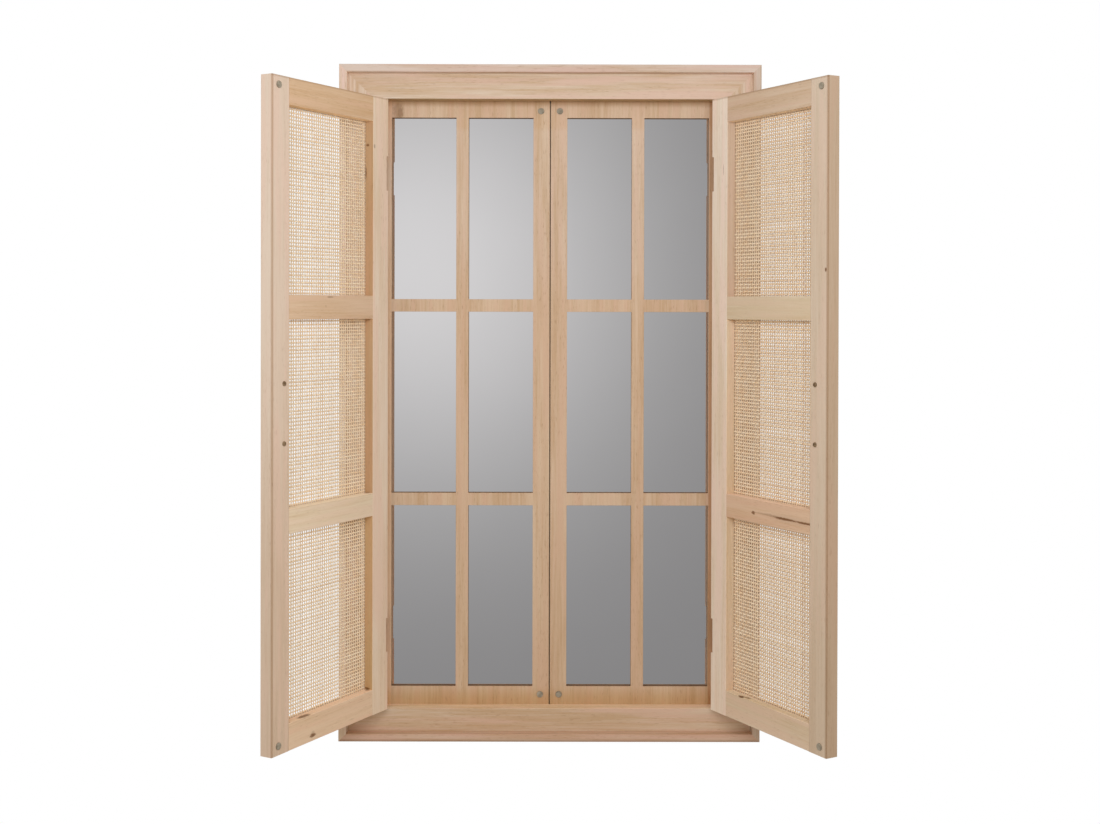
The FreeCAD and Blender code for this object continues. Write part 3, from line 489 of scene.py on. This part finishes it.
# what one shutter has beyond the other: the side beside its panels darker, with painted light on
# that side lower down, and on the right shutter painted shade on its free end, more painted light
# on its lower middle rail's top and a touch less on its bottom rail's top
SIDE_SHADES = {
    "left_door_hinge_stile": [(PANEL_SIDE, (208, 186, 158)),
                              ([*PANEL_SIDE, (ALONG, -150.0, -200.0)], (264, 269, 262))],
    "right_door_meeting_stile": [(FREE_SIDE, (230, 219, 208))],
    "right_door_lower_mid_rail": [(LOWER_RAIL_TOP, (262, 266, 272))],
    "right_door_bottom_rail": [(BOTTOM_RAIL_TOP, (252, 256, 256))],
    "right_door_hinge_stile": [(PANEL_SIDE, (220, 207, 194)),
                               ([*PANEL_SIDE, (ALONG, 190.0, 140.0)], (277, 285, 284))],
}
FIRST_SEED, SEED_GAP = {"left": 20.0, "right": 40.0}, 1.9
for side in SIDES:
    for count, (piece, (wood, upright)) in enumerate(SHUTTER_BOARDS.items()):
        name = f"{side}_door_{piece}"
        board(name, wood, upright, seed=FIRST_SEED[side] + SEED_GAP * count,
              knots=SHUTTER_KNOTS.get(name, ()),
              shades=SHUTTER_SHADES.get(piece, []) + SIDE_SHADES.get(name, []))


# ---------------------------------------------------------------------------------------------
# metal and glass


def metal(names, label, plain, worn, roughness, metallic=1.0):
    """Drawn or plated metal on the named nodes."""
    material, w, shader = finish_material(label)
    marks = w.use_group(DRAW_MARKS, {"Vector": w.here(), "Plain": srgb(*plain),
                                     "Worn": srgb(*worn), "Roughness": roughness})
    w.feed(shader.inputs["Base Color"], marks["Colour"])
    w.feed(shader.inputs["Roughness"], marks["Roughness"])
    shader.inputs["Metallic"].default_value = metallic
    w.raise_surface(shader, marks["Height"], strength=0.1, depth=0.00005)
    dress(names, material)


def both(*patterns):
    """Names of the left and the right pieces."""
    return [pattern.replace("SIDE", side) for pattern in patterns for side in SIDES]


metal(both("SIDE_door_handle"),
      "satin_steel", (176, 174, 170), (150, 148, 145), roughness=0.38)
metal(both("SIDE_door_handle_screws"),
      "dull_screw", (156, 132, 102), (122, 98, 72), roughness=0.55, metallic=0.3)
metal(both("SIDE_door_magnets") + ["lattice_magnets"],
      "plated_magnet", (176, 166, 148), (150, 140, 122), roughness=0.55, metallic=0.35)
metal(both("SIDE_hinge_pins", "SIDE_door_hinge_screws",
           "SIDE_door_upper_hinge_leaf", "SIDE_door_lower_hinge_leaf",
           "case_SIDE_upper_hinge_leaf", "case_SIDE_lower_hinge_leaf") + ["case_hinge_screws"],
      "dull_brass", (118, 92, 64), (92, 68, 46), roughness=0.55)
metal(both("hanger_plate_SIDE") + ["hanger_screws", "back_panel_screws"],
      "zinc_plate", (190, 192, 194), (160, 163, 166), roughness=0.4)


def mirror_glass():
    """Silvered glass, with the faintest bloom in its polish."""
    material, w, shader = finish_material("silvered_glass")
    bloom = w.noise(w.here(), (9.0, 9.0, 9.0), detail=2.0)
    shader.inputs["Metallic"].default_value = 1.0
    w.feed(shader.inputs["Base Color"], w.mix(bloom, srgb(242, 240, 241), srgb(239, 237, 238)))
    w.feed(shader.inputs["Roughness"], w.fade(bloom, 0.3, 0.7, 0.0, 0.02))
    dress(both("mirror_glass_SIDE"), material)


mirror_glass()


# ---------------------------------------------------------------------------------------------
# cane webbing, in millimetres

CANE_OPENING = (224.5, 304.5)
CANE_MARGIN = 6.6
CANE_PITCH = (5.76, 5.86)
CANE_LOW = {"lower": -499.0, "middle": -154.5, "upper": 190.0}
CANE_MIDDLE_PLANE = 9.25
# seed, how wide the upright and the level strands are, and how brown
WEBBING = {"left": (7, (2.9, 2.65), (0.32, 0.0)), "right": (11, (3.7, 3.55), (0.65, 0.22))}
STRAND_THICK = 0.24
STRAND_SWAY = 0.15
# how far a strand stands from its place, and how far it wanders on its way
STRAND_STRAY, STRAND_WANDER = 0.3, 0.05
NARROWEST, WIDEST = 0.85, 1.2
# how much browner a strand can be, and how much and how often one is still browner
TONE_SPREAD, BROWN_SPREAD, BROWN_SHARE = 0.25, 0.4, 0.3
CORNERS = 4  # of a strand's cross-section


def weave(name, opening, margin, seed, widths, browner):
    """Open cane webbing, flat on XZ: each strand passes over one and under the next.
    The opening is across and up, and the margin is what lies under the beads."""
    rng = random.Random(seed)
    places, faces, tones = [], [], []
    counts = [round(span / pitch) for span, pitch in zip(opening, CANE_PITCH)]
    steps = [span / count for span, count in zip(opening, counts)]
    for way in (0, 1):
        # strands of this way stand side by side along `way` and run along `other`
        other = 1 - way
        extra = int(margin / steps[way])
        for number in range(-extra, counts[way] + extra):
            beside = (number + 0.5) * steps[way] + rng.uniform(-STRAND_STRAY, STRAND_STRAY)
            half = widths[way] / 2 * rng.uniform(NARROWEST, WIDEST)
            ring = ((-half, 0.0), (0.0, STRAND_THICK / 2), (half, 0.0), (0.0, -STRAND_THICK / 2))
            tone = browner[way] + rng.random() ** 2 * (
                BROWN_SPREAD if rng.random() < BROWN_SHARE else TONE_SPREAD)
            first = len(places)
            # at even half steps it crosses a strand of the other way, and lies level between them
            for half_step in range(-2 * extra - 1, 2 * (counts[other] + extra) + 1):
                run = max(-margin, min(opening[other] + margin, (half_step + 1) / 2 * steps[other]))
                lift = 0.0
                if half_step % 2 == 0:
                    over = (number + half_step // 2 + way) % 2
                    lift = STRAND_SWAY if over else -STRAND_SWAY
                wander = beside + rng.uniform(-STRAND_WANDER, STRAND_WANDER)
                for aside, rise in ring:
                    x, z = (wander + aside, run) if way == 0 else (run, wander + aside)
                    places.append((MM * x, MM * (lift + rise), MM * z))
                    tones.append(tone)
            last = len(places) - CORNERS
            for start in range(first, last, CORNERS):
                for corner in range(CORNERS):
                    following = (corner + 1) % CORNERS
                    faces.append((start + corner, start + following,
                                  start + CORNERS + following, start + CORNERS + corner))
            faces.append((first, first + 1, first + 2, first + 3))
            faces.append((last + 3, last + 2, last + 1, last))
    mesh = bpy.data.meshes.new(name)
    mesh.from_pydata(places, [], faces)
    mesh.update()
    mesh.attributes.new("strand_tone", "FLOAT", "POINT").data.foreach_set("value", tones)
    mesh.polygons.foreach_set("use_smooth", [True] * len(mesh.polygons))
    return mesh


def cane_material():
    """Split cane that lets a little light through, with a faint painted glow that stands in for
    more of the light coming through it.
    """
    material, w, shader = finish_material("split_cane")
    here = w.here()
    tone = w.add("ShaderNodeAttribute", attribute_name="strand_tone").outputs["Fac"]
    skin = w.use_group(CANE_SKIN, {"Vector": here, "Tone": tone})
    w.feed(shader.inputs["Base Color"], skin["Colour"])
    # a faint painted glow in the cane's own colour, standing in for light that comes through it
    w.feed(shader.inputs["Emission Color"], skin["Colour"])
    shader.inputs["Emission Strength"].default_value = 0.11
    w.feed(shader.inputs["Roughness"], skin["Roughness"])
    shader.inputs["Subsurface Weight"].default_value = 0.15
    shader.inputs["Subsurface Radius"].default_value = (0.0012, 0.0009, 0.0006)
    shader.inputs["Subsurface Scale"].default_value = 1.0
    w.raise_surface(shader, skin["Height"], strength=0.2, depth=0.0001)
    return material


def place_object(name, data):
    thing = bpy.data.objects.new(name, data)
    bpy.context.scene.collection.objects.link(thing)
    return thing


split_cane = cane_material()
for side in SIDES:
    joint = JOINTS[f"{side}_door"]
    flip = 1.0 if side == "left" else -1.0
    angle = math.radians(-joint["range_deg"][0])
    across = Vector((flip * math.cos(angle), -math.sin(angle), 0.0))
    back = Vector((flip * math.sin(angle), math.cos(angle), 0.0))
    hung = Matrix((across, back, Vector((0.0, 0.0, 1.0)))).transposed().to_4x4()
    corner = Vector(joint["pos_m"]) + MM * (PANEL_START * across + CANE_MIDDLE_PLANE * back)
    webbing = weave(f"{side}_webbing", CANE_OPENING, CANE_MARGIN, *WEBBING[side])
    webbing.materials.append(split_cane)
    for level, low in CANE_LOW.items():
        panel = place_object(f"{side}_{level}_webbing", webbing)
        panel.matrix_world = Matrix.Translation(corner + Vector((0.0, 0.0, MM * low))) @ hung
        # only the closer webbing on the right casts a shadow in the photograph
        panel.visible_shadow = side == "right"
        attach(panel, f"{side}_door")
        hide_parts(f"{side}_door_{level}_cane")


# ---------------------------------------------------------------------------------------------
# studio

FLOOR_REACH, FLOOR_LEVEL = 3.2, -1.5
FLOOR_GONE, FLOOR_WHOLE = 1.9, 1.0


def floor():
    """A pale floor below the mirror as it hangs, which fades out at its rim."""
    mesh = bpy.data.meshes.new("floor")
    corners = [(FLOOR_REACH * x, FLOOR_REACH * y, FLOOR_LEVEL)
               for x, y in ((-1, -1), (1, -1), (1, 1), (-1, 1))]
    mesh.from_pydata(corners, [], [(0, 1, 2, 3)])
    plane = place_object("floor", mesh)
    material, w, shader = finish_material("pale_floor")
    here = w.here()
    far = w.length(w.vector("MULTIPLY", here, (1.0, 1.0, 0.0)))
    grey = w.noise(here, (3.0, 3.0, 3.0), detail=2.0)
    w.feed(shader.inputs["Base Color"], w.mix(grey, srgb(240, 240, 240), srgb(234, 234, 234)))
    w.feed(shader.inputs["Alpha"], w.fade(far, FLOOR_GONE, FLOOR_WHOLE))
    shader.inputs["Roughness"].default_value = 0.7
    mesh.materials.append(material)


def softbox(name, place, target, size, power, colour):
    """A flat soft light that faces a target."""
    lamp = bpy.data.lights.new(name, "AREA")
    lamp.shape = "RECTANGLE"
    lamp.size, lamp.size_y = size
    lamp.energy = power
    lamp.color = colour
    holder = place_object(name, lamp)
    aim = Vector(target) - Vector(place)
    turn = aim.to_track_quat("-Z", "Y").to_matrix().to_4x4()
    holder.matrix_world = Matrix.Translation(place) @ turn
    holder.visible_glossy = False


# the grey wall that the glass looks at: its grey, how much brighter its pool of light is, and the
# pool's middle and spread across and up, on a wall one metre away
WALL_GREY, POOL_LIGHT, WALL_GAIN = 131 / 255, 80 / 255, 1.12
POOL = {"X": (-0.10, 0.129), "Z": (0.032, 0.135)}
# the soft light round the mirror: a level band of light, its middle and spread up
BAND_MIDDLE, BAND_SPREAD = -0.04, 0.52
WARM_AIR = (1.03, 0.97, 0.86, 1.0)
WHITE = (1.0, 1.0, 1.0, 1.0)


def studio_air():
    """White behind the mirror, even soft light all round, and in front, where the glass looks, a
    grey wall with one broad pool of light, up and to the left."""
    world = bpy.data.worlds.new("studio")
    bpy.context.scene.world = world
    world.use_nodes = True
    nodes = world.node_tree.nodes
    w = Wiring(world.node_tree)
    way = w.split(w.add("ShaderNodeTexCoord").outputs["Generated"])

    # what the glass sees
    depth = w.calc("MAXIMUM", w.calc("ABSOLUTE", way["Y"]), 0.05)
    away = [w.calc("DIVIDE", w.minus(w.calc("DIVIDE", way[axis], depth), middle), spread)
            for axis, (middle, spread) in POOL.items()]
    square = w.plus(*[w.times(side, side) for side in away])
    pool = w.calc("EXPONENT", w.times(square, -0.5))
    wall = w.times(w.calc("POWER", w.plus(w.times(pool, POOL_LIGHT), WALL_GREY), 2.2), WALL_GAIN)

    # what lights everything else: the band, brighter at its two ends and to the left, and a
    # softer light from above
    rise = w.calc("DIVIDE", w.minus(way["Z"], BAND_MIDDLE), BAND_SPREAD)
    band = w.calc("EXPONENT", w.times(w.times(rise, rise), -1.0))
    cube = w.times(w.calc("POWER", w.calc("ABSOLUTE", way["X"]), 3.0), w.calc("SIGN", way["X"]))
    ends = w.plus(w.times(w.times(way["X"], way["X"]), 0.95), 0.78)
    beside = w.plus(w.minus(ends, w.times(way["X"], 0.60)), w.times(cube, 1.05))
    facing = w.fade(way["Y"], 0.35, -0.25, 0.45, 1.0)
    ahead = w.times(w.times(band, beside), facing)
    light = w.plus(w.times(ahead, 0.60), w.fade(way["Z"], -0.4, 0.9, 0.04, 0.40))

    rays = w.add("ShaderNodeLightPath").outputs
    in_front = w.fade(way["Y"], -0.80, -0.90)
    shade = w.choose(w.times(in_front, rays["Is Glossy Ray"]), light, wall)
    background = nodes["Background"]
    w.feed(background.inputs["Color"], w.mix(rays["Is Diffuse Ray"], WHITE, WARM_AIR))
    w.feed(background.inputs["Strength"], w.choose(rays["Is Camera Ray"], shade, 1.0))
    w.feed(nodes["World Output"].inputs["Surface"], background.outputs[0])


floor()
studio_air()
softbox("key", place=(0.0, -1.9, 0.58), target=(0.0, 0.0, 0.3), size=(1.5, 0.36), power=20,
        colour=(0.94, 1.0, 1.09))

# camera, at the place and with the lens that the photograph's edges give
PHOTO_WIDE, PHOTO_HIGH = 1100, 824
FOCAL_PIXELS = 1399.38
MIDDLE = (561.08, 315.00)
STAND = (0.01530, -2.54196, 0.17306)
TURN, NOD, ROLL = math.radians(-0.1035), math.radians(0.3734), math.radians(0.1279)

ahead = Vector((-math.sin(TURN) * math.cos(NOD), math.cos(TURN) * math.cos(NOD), -math.sin(NOD)))
level_right = Vector((math.cos(TURN), math.sin(TURN), 0.0))
level_up = level_right.cross(ahead)
right = math.cos(ROLL) * level_right + math.sin(ROLL) * level_up
up = math.cos(ROLL) * level_up - math.sin(ROLL) * level_right
lens = bpy.data.cameras.new("camera")
lens.sensor_width = 36.0
lens.lens = FOCAL_PIXELS * lens.sensor_width / PHOTO_WIDE
lens.shift_x = (PHOTO_WIDE / 2 - MIDDLE[0]) / PHOTO_WIDE
lens.shift_y = (MIDDLE[1] - PHOTO_HIGH / 2) / PHOTO_WIDE
camera = place_object("camera", lens)
camera.matrix_world = Matrix.Translation(STAND) @ Matrix((right, up, -ahead)).transposed().to_4x4()
bpy.context.scene.camera = camera
bpy.context.scene.view_settings.view_transform = "Standard"
